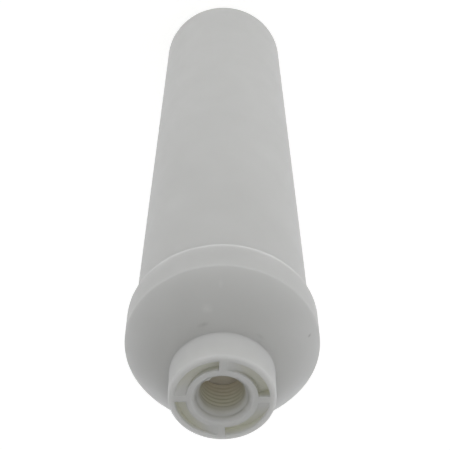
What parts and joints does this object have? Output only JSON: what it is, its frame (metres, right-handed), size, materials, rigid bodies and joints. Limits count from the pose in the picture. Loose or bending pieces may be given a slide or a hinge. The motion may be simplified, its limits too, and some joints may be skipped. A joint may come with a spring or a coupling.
{
  "type": "sediment filter cartridge",
  "caption": "Sealed inline water filter: a straight plastic tube with domed ends and, at each, a boss with four drive ramps round a countersunk threaded port. A melt-blown sleeve inside.",
  "frame": {"origin": "middle of the inlet boss face, on which the cartridge stands", "axes": "+Z along the cartridge's axis, from the inlet port up to the outlet port in the welded cap; X and Y lie along the drive walls of the boss faces"},
  "size_m": [0.0548, 0.0548, 0.26],
  "materials": {
    "white_polypropylene": "satin moulded polypropylene, slightly translucent",
    "melt_blown_fibre": "matt felted polypropylene fibre",
    "natural_polypropylene": "satin moulded polypropylene, undyed",
    "black_rubber": "moulded nitrile rubber"
  },
  "bodies": {
    "root": {"housing": "white_polypropylene", "end_cap": "white_polypropylene", "sediment_element": "melt_blown_fibre", "blind_end_cap": "natural_polypropylene", "open_end_cap": "natural_polypropylene", "spigot_o_ring": "black_rubber"}
  },
  "joints": []
}
